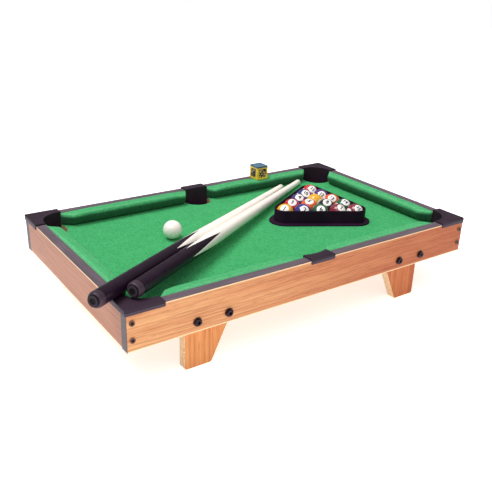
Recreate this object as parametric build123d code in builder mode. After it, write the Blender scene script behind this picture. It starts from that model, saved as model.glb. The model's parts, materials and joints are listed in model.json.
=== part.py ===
from build123d import *
import os
from math import cos, hypot, radians, sin, sqrt

# A tabletop pool table set: the table, a racked triangle of fifteen balls, a cue ball, two cues and
# a cube of chalk. Millimetres. +X runs along the table, +Y across it and +Z up. The origin is on the
# surface that the table stands on, below the middle of the bed. "near" is -Y, "left" is -X.
os.makedirs("parts", exist_ok=True)

# ---- driving dimensions ------------------------------------------------------------------------
table_length = 510.0          # over the outer faces of the end aprons
table_width = 310.0           # over the outer faces of the side aprons
leg_drop = 53.0               # floor to the lower edge of the aprons
apron_height = 47.0
apron_thick = 12.0
bed_drop = 17.0               # top of the aprons down to the cloth
cloth_thick = 1.0
board_thick = 9.0
ball_diameter = 25.0
cue_length = 497.0

# ---- heights -----------------------------------------------------------------------------------
apron_top = leg_drop + apron_height
cloth_top = apron_top - bed_drop
board_top = cloth_top - cloth_thick
board_under = board_top - board_thick

# ---- aprons and their edge bands ---------------------------------------------------------------
band_thick = 0.5              # dark edge band on the top and end edges of the boards
band_joint = 0.05             # butt joint between two bands
board_ease = 0.4              # eased edges of boards and legs
mould_ease = 0.5              # eased edges of moulded parts
half_length = table_length / 2
half_width = table_width / 2
inner_length = table_length - 2 * apron_thick
inner_width = table_width - 2 * apron_thick

# ---- corner pockets, measured inward from the outer corner of the aprons -----------------------
cap_thick = 2.0               # plate that lies on the aprons
cap_lip = 1.2                 # skirt outside the apron faces
cap_bottom = apron_top - 4.4
cap_arm = 44.0                # length of each arm from the outer corner
cap_corner_radius = 2.5
mouth_centre = 40.4           # centre of the round mouth, from both outer faces
mouth_radius = 28.0
throat_wall = 2.0
corner_hole_centre = 24.0     # hole through cloth and board, from both outer faces
corner_hole_radius = 22.5

# ---- side pockets, measured inward from the outer face of the side apron -----------------------
side_cap_length = 36.0
side_cap_reach = 16.0         # inner corners of the plate
side_mouth_sag = 3.0          # how far the inner edge curves back at its middle
side_hole_centre = 18.0
side_hole_radius = 20.0

# ---- ball cups under the bed -------------------------------------------------------------------
cup_wall = 1.5
cup_floor = 55.0              # lower face of the cup's floor
cup_flange = 7.0              # flange beyond the hole's edge
cup_flange_thick = 1.5
cup_screw_radius = 1.1
cup_screw_length = 6.0
cup_screw_head_radius = 2.2
cup_screw_head_thick = 1.2

# ---- cushions ----------------------------------------------------------------------------------
cushion_nose = 29.5           # nose of the rail, from the outer face of the apron
cushion_foot = 25.0           # foot of the rail's front face
nose_drop = 3.2               # nose below the apron tops
corner_gap = 44.4             # back edge of a rail starts this far from the outer corner
side_gap = 18.4               # and this far from the middle of a side pocket
corner_slant = 12.0           # how much further from the corner the nose starts
side_slant = 7.5

# ---- legs and their hardware -------------------------------------------------------------------
leg_thick = 12.0
leg_outer = 73.0              # upright edge of a leg, from the end of the table
leg_foot_width = 34.5
leg_slope = 0.467             # lean of the inner edge
leg_corner = 3.0
bolt_setback = (82.0, 122.0)  # leg bolts, from the end of the table
bolt_height = leg_drop + 12.6
bolt_radius = 2.45
bolt_length = 21.0
bolt_head_radius = 4.2
bolt_head_thick = 2.6
bolt_socket = 2.0             # radius of the hex socket's corners
washer_radius = 5.25
washer_thick = 1.0
insert_radius = 3.5
insert_length = 9.0
hole_clearance = 0.1

# ---- apron screws, through the side aprons into the ends of the end aprons ---------------------
screw_head_radius = 3.2
screw_head_thick = 1.2
screw_radius = 1.6
screw_length = 26.0
screw_setback = 6.3
screw_heights = (leg_drop + 13.6, leg_drop + 33.3)

# ---- battens under the board -------------------------------------------------------------------
batten = 10.0

# ---- balls and rack ----------------------------------------------------------------------------
ball_radius = ball_diameter / 2
ball_gap = 0.15
pitch = ball_diameter + ball_gap
row_pitch = pitch * sqrt(3) / 2
ball_height = cloth_top + 0.1 + ball_radius
apex_ball = 62.0              # x of the ball at the rack's apex
cue_ball_place = (-105.0, 23.0)
rows = [[1], [2, 3], [6, 5, 4], [7, 8, 9, 10], [15, 14, 13, 12, 11]]   # near to far, apex first
rack_clear = 0.7
rack_wall = 1.6
rack_height = 20.0
rack_flange = 7.0
rack_flange_thick = 1.8

# ---- cues --------------------------------------------------------------------------------------
butt_radius = 9.0
tip_radius = 4.3
straight_length = 178.0       # the butt keeps its full diameter this far
bumper_length = 2.0
bumper_radius = 6.6
bumper_recess_radius = 3.6
end_cap_length = 8.0
groove = 0.6                  # groove between the end cap and the shaft
groove_radius = 8.3
tip_length = 9.0
tip_dome = 1.2
cue_rest = 0.15               # air under a cue where it rests

# ---- chalk -------------------------------------------------------------------------------------
chalk_size = 21.0
chalk_place = (117.0, 141.5)
label_thick = 0.3
label_height = 18.4
chalk_dish_radius = 30.0
chalk_dish_depth = 1.6


def put(node, piece):
    """Name one finished piece and write it as its own file."""
    piece.part.label = node
    export_step(piece.part, f"parts/{node}.step")


# ==== frames of reference for what repeats round the table ======================================
# On a rail plane x runs along the rail and y inward from the apron's outer face; on a corner plane
# x and y run inward along the two outer faces.
up = (0, 0, 1)
rails = {
    "near": Plane(origin=(0, -half_width, 0), x_dir=(1, 0, 0), z_dir=up),
    "far": Plane(origin=(0, half_width, 0), x_dir=(-1, 0, 0), z_dir=up),
    "left": Plane(origin=(-half_length, 0, 0), x_dir=(0, -1, 0), z_dir=up),
    "right": Plane(origin=(half_length, 0, 0), x_dir=(0, 1, 0), z_dir=up),
}
corners = {
    "near_left": Plane(origin=(-half_length, -half_width, 0), x_dir=(1, 0, 0), z_dir=up),
    "near_right": Plane(origin=(half_length, -half_width, 0), x_dir=(0, 1, 0), z_dir=up),
    "far_right": Plane(origin=(half_length, half_width, 0), x_dir=(-1, 0, 0), z_dir=up),
    "far_left": Plane(origin=(-half_length, half_width, 0), x_dir=(0, -1, 0), z_dir=up),
}
inner = (Align.MIN, Align.MIN)
corner_hole_x = half_length - corner_hole_centre
corner_hole_y = half_width - corner_hole_centre
side_hole_y = half_width - side_hole_centre
cup_screw_reach = corner_hole_radius + cup_wall + cup_screw_head_radius + 0.5
side_screw_place = (17.5, side_hole_centre + 16.5)


def cup_screw_points():
    """Screw centres in plan: two at each corner cup and two at each side cup."""
    points = []
    for corner in corners.values():
        for spot in ((corner_hole_centre + cup_screw_reach, corner_hole_centre),
                     (corner_hole_centre, corner_hole_centre + cup_screw_reach)):
            points.append(corner.from_local_coords(Vector(*spot, 0)))
    for rail in (rails["near"], rails["far"]):
        for side in (-1, 1):
            points.append(rail.from_local_coords(Vector(side * side_screw_place[0], side_screw_place[1], 0)))
    return [(point.X, point.Y) for point in points]


# ==== aprons ====================================================================================
bolt_places = [(side * (half_length - setback), bolt_height) for side in (-1, 1) for setback in bolt_setback]
screw_places = [(side * (half_length - screw_setback), height)
                for side in (-1, 1) for height in screw_heights]


def side_apron(face):
    """Board along one long side, drilled for its leg bolts and corner screws."""
    with BuildPart() as apron:
        with BuildSketch(rails[face].offset(leg_drop)):
            with Locations((0, apron_thick / 2)):
                Rectangle(table_length - 2 * band_thick, apron_thick)
        extrude(amount=apron_height - band_thick)
        chamfer(apron.edges().filter_by(Axis.X).group_by(Axis.Z)[0], board_ease)
        with BuildSketch(Plane.XZ.offset(half_width if face == "near" else -half_width)):
            with Locations(*bolt_places):
                Circle(bolt_radius + hole_clearance)
            with Locations(*screw_places):
                Circle(screw_radius + hole_clearance)
        extrude(amount=apron_thick * (-1 if face == "near" else 1), mode=Mode.SUBTRACT)
    return apron


def end_apron(face):
    """Board between the side aprons at one end, with pilot holes in its ends."""
    with BuildPart() as apron:
        with BuildSketch(rails[face].offset(leg_drop)):
            with Locations((0, apron_thick / 2)):
                Rectangle(inner_width, apron_thick)
        extrude(amount=apron_height - band_thick)
        chamfer(apron.edges().filter_by(Axis.Y).group_by(Axis.Z)[0], board_ease)
        for end in (-1, 1):
            with BuildSketch(Plane.XZ.offset(end * inner_width / 2)):
                with Locations(*screw_places):
                    Circle(screw_radius + hole_clearance)
            extrude(amount=-end * (screw_length - apron_thick + 1), mode=Mode.SUBTRACT)
    return apron


for face in ("near", "far"):
    put(f"side_apron_{face}", side_apron(face))
for face in ("left", "right"):
    put(f"end_apron_{face}", end_apron(face))

with BuildPart() as apron_top_bands:
    with BuildSketch(Plane.XY.offset(apron_top - band_thick)):
        with GridLocations(0, table_width - apron_thick, 1, 2):
            Rectangle(table_length, apron_thick)
        with GridLocations(table_length - apron_thick, 0, 2, 1):
            Rectangle(apron_thick, inner_width - 2 * band_joint)
    extrude(amount=band_thick)
    rims = [edge for edge in apron_top_bands.edges().group_by(Axis.Z)[-1]
            if abs(edge.center().X) > half_length - board_ease
            or abs(edge.center().Y) > half_width - board_ease]
    chamfer(rims, 0.7 * band_thick)
put("apron_top_bands", apron_top_bands)

with BuildPart() as apron_end_bands:
    with BuildSketch(Plane.XY.offset(leg_drop)):
        with GridLocations(table_length - band_thick, table_width - apron_thick, 2, 2):
            Rectangle(band_thick, apron_thick)
    extrude(amount=apron_height - band_thick)
put("apron_end_bands", apron_end_bands)

# ==== bed =======================================================================================


def bed_holes():
    """The six pocket holes, as shapes cut from the open sketch."""
    with GridLocations(2 * corner_hole_x, 2 * corner_hole_y, 2, 2):
        Circle(corner_hole_radius, mode=Mode.SUBTRACT)
    with GridLocations(0, 2 * side_hole_y, 1, 2):
        Circle(side_hole_radius, mode=Mode.SUBTRACT)


with BuildPart() as bed_board:
    with BuildSketch(Plane.XY.offset(board_under)):
        Rectangle(inner_length, inner_width)
        bed_holes()
    extrude(amount=board_thick)
    with BuildSketch(Plane.XY.offset(board_under)):
        with Locations(*cup_screw_points()):
            Circle(cup_screw_radius + hole_clearance)
    extrude(amount=cup_screw_length, mode=Mode.SUBTRACT)
put("bed_board", bed_board)

with BuildPart() as bed_cloth:
    with BuildSketch(Plane.XY.offset(board_top)):
        Rectangle(inner_length, inner_width)
        bed_holes()
    extrude(amount=cloth_thick)
put("bed_cloth", bed_cloth)

with BuildPart() as bed_battens:
    side_start = side_hole_radius + cup_flange + 2
    side_end = half_length - leg_outer - leg_foot_width - leg_slope * board_under - 2
    with BuildSketch(Plane.XY.offset(board_under - batten)):
        for side in (-1, 1):
            with GridLocations(0, inner_width - batten, 1, 2):
                with Locations((side * (side_start + side_end) / 2, 0)):
                    Rectangle(side_end - side_start, batten)
        with GridLocations(inner_length - batten, 0, 2, 1):
            Rectangle(batten, 2 * (half_width - corner_hole_centre - corner_hole_radius - cup_flange - 2))
    extrude(amount=batten)
put("bed_battens", bed_battens)

# ==== cushions ==================================================================================


def cushion(rail, start, end, start_slant, end_slant):
    """One felt-covered rubber rail between two pockets, on its rail plane."""
    nose_height = apron_top - nose_drop
    across = Plane(origin=rail.from_local_coords(Vector(start, 0, 0)), x_dir=rail.y_dir, z_dir=rail.x_dir)
    with BuildPart() as body:
        with BuildSketch(across):
            Polygon((apron_thick, cloth_top), (cushion_foot, cloth_top), (cushion_nose, nose_height),
                    (cushion_nose, apron_top - 1.2), (cushion_nose - 1.2, apron_top),
                    (apron_thick, apron_top), align=None)
        extrude(amount=end - start)
        with BuildSketch(rail.offset(cloth_top)):
            Polygon((start, apron_thick), (end, apron_thick), (end - end_slant, cushion_nose),
                    (start + start_slant, cushion_nose), align=None)
        extrude(amount=bed_drop, mode=Mode.INTERSECT)
    return body


long_end = half_length - corner_gap
short_end = half_width - corner_gap
cushions = {
    "near_left": ("near", -long_end, -side_gap, corner_slant, side_slant),
    "near_right": ("near", side_gap, long_end, side_slant, corner_slant),
    "far_right": ("far", -long_end, -side_gap, corner_slant, side_slant),
    "far_left": ("far", side_gap, long_end, side_slant, corner_slant),
    "end_left": ("left", -short_end, short_end, corner_slant, corner_slant),
    "end_right": ("right", -short_end, short_end, corner_slant, corner_slant),
}
for place, (rail, start, end, start_slant, end_slant) in cushions.items():
    put(f"cushion_{place}", cushion(rails[rail], start, end, start_slant, end_slant))

# ==== pockets ===================================================================================


def corner_pocket(corner):
    """Moulded corner pocket: plate on the aprons, skirt outside them, throat down into the bed."""
    reach = cap_arm + cap_lip
    with BuildPart() as pocket:
        with BuildSketch(corner.offset(cap_bottom)) as outline:
            with Locations((-cap_lip, -cap_lip)):
                Rectangle(reach, reach, align=inner)
            fillet(outline.vertices().group_by(Axis.X)[0].sort_by(Axis.Y)[0], cap_corner_radius)
            Rectangle(reach, reach, align=inner, mode=Mode.SUBTRACT)
        extrude(amount=apron_top - cap_bottom)
        with BuildSketch(corner.offset(apron_top)) as plate:
            with Locations((-cap_lip, -cap_lip)):
                Rectangle(reach, reach, align=inner)
            fillet(plate.vertices().group_by(Axis.X)[0].sort_by(Axis.Y)[0], cap_corner_radius)
            with Locations((mouth_centre, mouth_centre)):
                Circle(mouth_radius, mode=Mode.SUBTRACT)
        extrude(amount=cap_thick)
        with BuildSketch(corner.offset(board_under)):
            with Locations((mouth_centre, mouth_centre)):
                Circle(mouth_radius + throat_wall)
                Circle(mouth_radius, mode=Mode.SUBTRACT)
            with Locations((corner_hole_centre, corner_hole_centre)):
                Circle(corner_hole_radius - hole_clearance, mode=Mode.INTERSECT)
            with Locations((apron_thick, apron_thick)):
                Rectangle(cap_arm, cap_arm, align=inner, mode=Mode.INTERSECT)
        extrude(amount=apron_top - board_under)
        fillet(pocket.faces().sort_by(Axis.Z)[-1].edges(), mould_ease)
    return pocket


def side_pocket(rail):
    """Moulded side pocket, with its throat against the inside of the apron."""
    half = side_cap_length / 2
    with BuildPart() as pocket:
        with BuildSketch(rail.offset(cap_bottom)):
            with Locations((0, -cap_lip / 2)):
                Rectangle(side_cap_length, cap_lip)
        extrude(amount=apron_top - cap_bottom)
        for level, thick, back in ((apron_top, cap_thick, -cap_lip),
                                   (board_under, apron_top - board_under, apron_thick)):
            with BuildSketch(rail.offset(level)):
                with BuildLine():
                    Polyline((-half, side_cap_reach), (-half, back), (half, back), (half, side_cap_reach))
                    ThreePointArc((half, side_cap_reach), (0, side_cap_reach - side_mouth_sag),
                                  (-half, side_cap_reach))
                make_face()
            extrude(amount=thick)
        fillet(pocket.faces().sort_by(Axis.Z)[-1].edges(), mould_ease)
    return pocket


for place, corner in corners.items():
    put(f"corner_pocket_{place}", corner_pocket(corner))
for face in ("near", "far"):
    put(f"side_pocket_{face}", side_pocket(rails[face]))

with BuildPart() as corner_pocket_cups:
    for corner in corners.values():
        with BuildSketch(corner.offset(cup_floor)):
            with Locations((corner_hole_centre, corner_hole_centre)):
                Circle(corner_hole_radius + cup_wall)
            with Locations((apron_thick, apron_thick)):
                Rectangle(cap_arm, cap_arm, align=inner, mode=Mode.INTERSECT)
        extrude(amount=board_under - cup_floor)
        with BuildSketch(corner.offset(board_under - cup_flange_thick)):
            with Locations((corner_hole_centre, corner_hole_centre)):
                Circle(corner_hole_radius + cup_flange)
            with Locations((apron_thick, apron_thick)):
                Rectangle(cap_arm, cap_arm, align=inner, mode=Mode.INTERSECT)
        extrude(amount=cup_flange_thick)
        with BuildSketch(corner.offset(cup_floor + cup_wall)):
            with Locations((corner_hole_centre, corner_hole_centre)):
                Circle(corner_hole_radius)
            with Locations((apron_thick + cup_wall, apron_thick + cup_wall)):
                Rectangle(cap_arm, cap_arm, align=inner, mode=Mode.INTERSECT)
        extrude(amount=board_under - cup_floor - cup_wall, mode=Mode.SUBTRACT)
    with BuildSketch(Plane.XY.offset(board_under)):
        with Locations(*cup_screw_points()):
            Circle(cup_screw_radius + hole_clearance)
    extrude(amount=-cup_flange_thick, mode=Mode.SUBTRACT)
put("corner_pocket_cups", corner_pocket_cups)

with BuildPart() as side_pocket_cups:
    span = 4 * side_hole_radius
    for rail in (rails["near"], rails["far"]):
        with BuildSketch(rail.offset(cup_floor)):
            with Locations((0, side_hole_centre)):
                Circle(side_hole_radius + cup_wall)
            with Locations((0, apron_thick + span / 2)):
                Rectangle(span, span, mode=Mode.INTERSECT)
        extrude(amount=board_under - cup_floor)
        with BuildSketch(rail.offset(board_under - cup_flange_thick)):
            with Locations((0, side_hole_centre)):
                Circle(side_hole_radius + cup_flange)
            with Locations((0, apron_thick + span / 2)):
                Rectangle(span, span, mode=Mode.INTERSECT)
        extrude(amount=cup_flange_thick)
        with BuildSketch(rail.offset(cup_floor + cup_wall)):
            with Locations((0, side_hole_centre)):
                Circle(side_hole_radius)
            with Locations((0, apron_thick + cup_wall + span / 2)):
                Rectangle(span, span, mode=Mode.INTERSECT)
        extrude(amount=board_under - cup_floor - cup_wall, mode=Mode.SUBTRACT)
    with BuildSketch(Plane.XY.offset(board_under)):
        with Locations(*cup_screw_points()):
            Circle(cup_screw_radius + hole_clearance)
    extrude(amount=-cup_flange_thick, mode=Mode.SUBTRACT)
put("side_pocket_cups", side_pocket_cups)

with BuildPart() as cup_screws:
    head_top = board_under - cup_flange_thick
    with BuildSketch(Plane.XY.offset(head_top)):
        with Locations(*cup_screw_points()):
            Circle(cup_screw_head_radius)
    extrude(amount=-cup_screw_head_thick)
    with BuildSketch(Plane.XY.offset(head_top)):
        with Locations(*cup_screw_points()):
            Circle(cup_screw_radius)
    extrude(amount=cup_flange_thick + cup_screw_length - 0.5)
put("cup_screws", cup_screws)

# ==== legs and their bolts ======================================================================


def leg(face, side):
    """Plank leg behind a side apron: upright outer edge, leaning inner edge."""
    outer_x = half_length - leg_outer
    foot_x = outer_x - leg_foot_width
    top_x = foot_x - leg_slope * board_under
    back = inner_width / 2 * (1 if face == "near" else -1)
    inward = -leg_thick if face == "near" else leg_thick
    with BuildPart() as plank:
        with BuildSketch(Plane.XZ.offset(back)) as profile:
            Polygon((side * outer_x, 0), (side * outer_x, board_under), (side * top_x, board_under),
                    (side * foot_x, 0), align=None)
            fillet(profile.vertices().group_by(Axis.Y)[0], leg_corner)
        extrude(amount=inward)
        chamfer(plank.faces().filter_by(Axis.Y).edges(), board_ease)
        with BuildSketch(Plane.XZ.offset(back)):
            with Locations(*[place for place in bolt_places if place[0] * side > 0]):
                Circle(bolt_radius + hole_clearance)
        extrude(amount=inward, mode=Mode.SUBTRACT)
        with BuildSketch(Plane.XZ.offset(back)):
            with Locations(*[place for place in bolt_places if place[0] * side > 0]):
                Circle(insert_radius + hole_clearance / 2)
        extrude(amount=inward * insert_length / leg_thick, mode=Mode.SUBTRACT)
    return plank


for face in ("near", "far"):
    for side, name in ((-1, "left"), (1, "right")):
        put(f"leg_{face}_{name}", leg(face, side))

long_sides = ((half_width, 1), (-half_width, -1))      # offset of the outer face, outward sign

with BuildPart() as leg_bolt_washers:
    for offset_y, out in long_sides:
        with BuildSketch(Plane.XZ.offset(offset_y)):
            with Locations(*bolt_places):
                Circle(washer_radius)
                Circle(bolt_radius + hole_clearance, mode=Mode.SUBTRACT)
        extrude(amount=out * washer_thick)
put("leg_bolt_washers", leg_bolt_washers)

with BuildPart() as leg_bolts:
    for offset_y, out in long_sides:
        head_face = offset_y + out * washer_thick
        with BuildSketch(Plane.XZ.offset(head_face)):
            with Locations(*bolt_places):
                Circle(bolt_head_radius)
        extrude(amount=out * bolt_head_thick)
        chamfer(leg_bolts.edges().group_by(Axis.Y)[-1 if out < 0 else 0], mould_ease)
        with BuildSketch(Plane.XZ.offset(head_face)):
            with Locations(*bolt_places):
                Circle(bolt_radius)
        extrude(amount=-out * bolt_length)
        with BuildSketch(Plane.XZ.offset(head_face + out * bolt_head_thick)):
            with Locations(*bolt_places):
                RegularPolygon(bolt_socket, 6)
        extrude(amount=-out * bolt_head_thick * 0.65, mode=Mode.SUBTRACT)
put("leg_bolts", leg_bolts)

with BuildPart() as leg_insert_nuts:
    for offset_y, out in long_sides:
        with BuildSketch(Plane.XZ.offset(offset_y - out * apron_thick)):
            with Locations(*bolt_places):
                Circle(insert_radius)
                Circle(bolt_radius + hole_clearance / 2, mode=Mode.SUBTRACT)
        extrude(amount=-out * insert_length)
put("leg_insert_nuts", leg_insert_nuts)

with BuildPart() as apron_screws:
    for offset_y, out in long_sides:
        with BuildSketch(Plane.XZ.offset(offset_y)):
            with Locations(*screw_places):
                Circle(screw_head_radius)
        extrude(amount=out * screw_head_thick)
        with BuildSketch(Plane.XZ.offset(offset_y)):
            with Locations(*screw_places):
                Circle(screw_radius)
        extrude(amount=-out * screw_length)
        with BuildSketch(Plane.XZ.offset(offset_y + out * screw_head_thick)):
            with Locations(*screw_places):
                Rectangle(0.6, 3.2)
                Rectangle(3.2, 0.6)
        extrude(amount=-out * screw_head_thick * 0.6, mode=Mode.SUBTRACT)
put("apron_screws", apron_screws)

# ==== balls and rack ============================================================================


def ball(x, y):
    """One ball, standing on the cloth."""
    with BuildPart() as sphere:
        with Locations((x, y, ball_height)):
            Sphere(ball_radius)
    return sphere


put("cue_ball", ball(*cue_ball_place))
for row, numbers in enumerate(rows):
    for place, number in enumerate(numbers):
        put(f"ball_{number:02d}", ball(apex_ball + row * row_pitch, (place - row / 2) * pitch))

with BuildPart() as rack:
    last_row = len(rows) - 1
    back_x = apex_ball + last_row * row_pitch
    corner_balls = [(apex_ball, 0), (back_x, -last_row * pitch / 2), (back_x, last_row * pitch / 2)]
    inside = ball_radius + rack_clear
    rack_foot = cloth_top + 0.1
    for margin, height in ((inside + rack_wall, rack_height), (inside + rack_wall + rack_flange,
                                                               rack_flange_thick)):
        with BuildSketch(Plane.XY.offset(rack_foot)):
            Polygon(*corner_balls, align=None)
            offset(amount=margin, kind=Kind.ARC)
        extrude(amount=height)
    with BuildSketch(Plane.XY.offset(rack_foot)):
        Polygon(*corner_balls, align=None)
        offset(amount=inside, kind=Kind.ARC)
    extrude(amount=rack_height, mode=Mode.SUBTRACT)
    fillet(rack.faces().filter_by(Axis.Z).group_by(Axis.Z)[-1].edges(), mould_ease)
    fillet(rack.faces().filter_by(Axis.Z).group_by(Axis.Z)[1].edges().sort_by(SortBy.LENGTH)[-6:], mould_ease)
put("rack", rack)

# ==== cues ======================================================================================
# A cue's profile lies on a plane with x along the cue from the butt's end and y outward from its axis.
cue_a_butt = Vector(-282.0, -140.5, 113.4)
cue_a_tip = Vector(145.4, 115.9, 0)
cue_b_butt = Vector(-238.8, -137.5, 111.4)
cue_b_tip = Vector(183.6, 121.2, 0)


def cue_radius(along):
    """Radius of the cue's wood at a distance from the butt's end."""
    if along <= straight_length:
        return butt_radius
    taper = (along - straight_length) / (cue_length - straight_length)
    return butt_radius - (butt_radius - tip_radius) * taper


def cue(name, butt, toward):
    """Bumper, end cap, wooden shaft and tip of one cue, butt at its place and tip down on the cloth."""
    plan = hypot(toward.X - butt.X, toward.Y - butt.Y)
    tip_height = cloth_top + cue_rest + tip_radius
    run = sqrt(cue_length ** 2 - (butt.Z - tip_height) ** 2)
    direction = Vector((toward.X - butt.X) * run / plan, (toward.Y - butt.Y) * run / plan,
                       tip_height - butt.Z) / cue_length
    along = Plane(origin=butt, x_dir=direction, z_dir=direction.cross(Vector(0, 0, 1)))
    axis = Axis(butt, direction)
    shaft_start = bumper_length + end_cap_length
    tip_start = cue_length - tip_length
    pieces = {
        "bumper": [(0.8, 0), (0.8, bumper_recess_radius), (0, bumper_recess_radius), (0, bumper_radius - 0.6),
                   (0.6, bumper_radius), (bumper_length, bumper_radius), (bumper_length, 0)],
        "end_cap": [(bumper_length, 0), (bumper_length, 7.4), (bumper_length + 1.2, 8.5),
                    (bumper_length + 3.2, butt_radius), (shaft_start, butt_radius), (shaft_start, 0)],
        "shaft": [(shaft_start, 0), (shaft_start, groove_radius), (shaft_start + groove, groove_radius),
                  (shaft_start + groove, butt_radius), (straight_length, butt_radius),
                  (tip_start, cue_radius(tip_start)), (tip_start, 0)],
        "tip": [(tip_start, 0), (tip_start, cue_radius(tip_start)),
                (cue_length - tip_dome, cue_radius(cue_length - tip_dome)),
                (cue_length, tip_radius - tip_dome), (cue_length, 0)],
    }
    for piece, points in pieces.items():
        with BuildPart() as turned:
            with BuildSketch(along):
                Polygon(*points, align=None)
            revolve(axis=axis, revolution_arc=360)
        put(f"{name}_{piece}", turned)


cue("cue_a", cue_a_butt, cue_a_tip)
cue("cue_b", cue_b_butt, cue_b_tip)

# ==== chalk =====================================================================================
chalk_foot = apron_top + 0.1
core = chalk_size - 2 * label_thick
with BuildPart() as chalk_block:
    with BuildSketch(Plane.XY.offset(chalk_foot)):
        with Locations(chalk_place):
            RectangleRounded(core, core, 0.6)
    extrude(amount=chalk_size)
    with Locations((*chalk_place, chalk_foot + chalk_size - chalk_dish_depth + chalk_dish_radius)):
        Sphere(chalk_dish_radius, mode=Mode.SUBTRACT)
put("chalk_block", chalk_block)

with BuildPart() as chalk_label:
    with BuildSketch(Plane.XY.offset(chalk_foot)):
        with Locations(chalk_place):
            RectangleRounded(chalk_size, chalk_size, 0.9)
            RectangleRounded(core, core, 0.6, mode=Mode.SUBTRACT)
    extrude(amount=label_height)
put("chalk_label", chalk_label)
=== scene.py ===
"""Looks of the tabletop pool table set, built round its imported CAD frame.

Lengths in this script are millimetres in the frame's axes until a mesh or an object is made.
+X runs along the table, +Y across it, from near to far.
"""

import json
import math

import bmesh
import bpy
import numpy as np
from mathutils import Matrix, Vector, geometry, noise

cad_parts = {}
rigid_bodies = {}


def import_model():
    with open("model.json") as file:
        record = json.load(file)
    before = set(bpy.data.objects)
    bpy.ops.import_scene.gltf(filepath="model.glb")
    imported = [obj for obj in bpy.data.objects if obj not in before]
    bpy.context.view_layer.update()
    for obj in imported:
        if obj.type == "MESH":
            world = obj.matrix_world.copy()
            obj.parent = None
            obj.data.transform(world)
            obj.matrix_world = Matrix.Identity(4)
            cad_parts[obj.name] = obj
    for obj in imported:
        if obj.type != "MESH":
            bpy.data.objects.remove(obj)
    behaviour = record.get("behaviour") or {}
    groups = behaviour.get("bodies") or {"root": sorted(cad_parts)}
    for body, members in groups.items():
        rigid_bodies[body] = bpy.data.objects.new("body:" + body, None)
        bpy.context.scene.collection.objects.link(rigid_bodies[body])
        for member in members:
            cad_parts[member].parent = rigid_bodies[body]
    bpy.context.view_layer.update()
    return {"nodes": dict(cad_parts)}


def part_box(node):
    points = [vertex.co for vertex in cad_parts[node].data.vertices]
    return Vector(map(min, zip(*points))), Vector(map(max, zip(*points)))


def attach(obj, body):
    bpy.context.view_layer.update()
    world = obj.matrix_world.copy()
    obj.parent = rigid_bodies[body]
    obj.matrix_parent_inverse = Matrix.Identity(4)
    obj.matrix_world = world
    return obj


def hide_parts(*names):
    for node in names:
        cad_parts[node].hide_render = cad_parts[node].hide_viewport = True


for leftover in list(bpy.data.objects):
    bpy.data.objects.remove(leftover)
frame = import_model()
nodes = frame["nodes"]
MM = 0.001
UP = Vector((0, 0, 1))
X_AXIS, Y_AXIS, Z_AXIS = (1, 0, 0), (0, 1, 0), (0, 0, 1)

# ---- sizes of the CAD model that its nodes' boxes don't give -----------------------------------
half_length, half_width = 255.0, 155.0      # outer faces of the aprons
apron_thick = 12.0
apron_top = 100.0
corner_inset, corner_hole_radius = 24.0, 22.5    # a pocket hole's centre, from the outer faces
side_inset, side_hole_radius = 18.0, 20.0
screw_head = 3.2                            # radius


def span(node):
    """Lowest and highest corner of a CAD node, in millimetres."""
    low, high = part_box(node)
    return low / MM, high / MM


def add(name, data):
    """A new object, linked into the scene."""
    made = bpy.data.objects.new(name, data)
    bpy.context.scene.collection.objects.link(made)
    return made


def evaluated_mesh(piece):
    """A new mesh: the object's, with its modifiers applied."""
    bpy.context.view_layer.update()
    graph = bpy.context.evaluated_depsgraph_get()
    return bpy.data.meshes.new_from_object(piece.evaluated_get(graph))


def mesh_from(shape, name):
    """A new mesh from a bmesh, which is freed."""
    mesh = bpy.data.meshes.new(name)
    shape.to_mesh(mesh)
    shape.free()
    return mesh


# ==== materials =================================================================================


def rgb(red, green, blue):
    """Linear colour from a display colour of 0 to 255 a channel."""
    out = []
    for value in (red, green, blue):
        value /= 255
        out.append(value / 12.92 if value <= 0.04045 else ((value + 0.055) / 1.055) ** 2.4)
    return (*out, 1.0)


def dimmed(colour, share):
    return tuple(share * c for c in colour[:3]) + (1,)


class Nodes:
    """A node tree and what is added to it. Numbers, colours and sockets are passed alike."""

    def __init__(self, tree):
        self.tree = tree

    def fill(self, socket, value):
        if isinstance(value, bpy.types.NodeSocket):
            self.tree.links.new(value, socket)
        else:
            socket.default_value = value

    def node(self, kind, inputs, out=0, **settings):
        made = self.tree.nodes.new("ShaderNode" + kind)
        for key, value in settings.items():
            setattr(made, key, value)
        for key, value in inputs.items():
            self.fill(made.inputs[key], value)
        return made.outputs[out]

    def maths(self, operation, a, b=0.0):
        return self.node("Math", {0: a, 1: b}, operation=operation)

    def add(self, a, b):
        return self.maths("ADD", a, b)

    def times(self, a, b):
        return self.maths("MULTIPLY", a, b)

    def size(self, value):
        return self.maths("ABSOLUTE", value)

    def hypotenuse(self, a, b):
        return self.maths("SQRT", self.add(self.times(a, a), self.times(b, b)))

    def step(self, value, low, high, below=0.0, above=1.0):
        """One number below low, another above high (0 and 1 if not given), smooth between."""
        return self.node("MapRange", {"Value": value, 1: low, 2: high, 3: below, 4: above},
                         interpolation_type="SMOOTHSTEP")

    def spread(self, value, low, high, source=(0.0, 1.0)):
        """value, taken in proportion from the source range to low and high."""
        return self.node("MapRange", {"Value": value, 1: source[0], 2: source[1], 3: low, 4: high})

    def between(self, factor, a, b):
        """Number between a and b."""
        return self.node("Mix", {0: factor, 2: a, 3: b})


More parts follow.
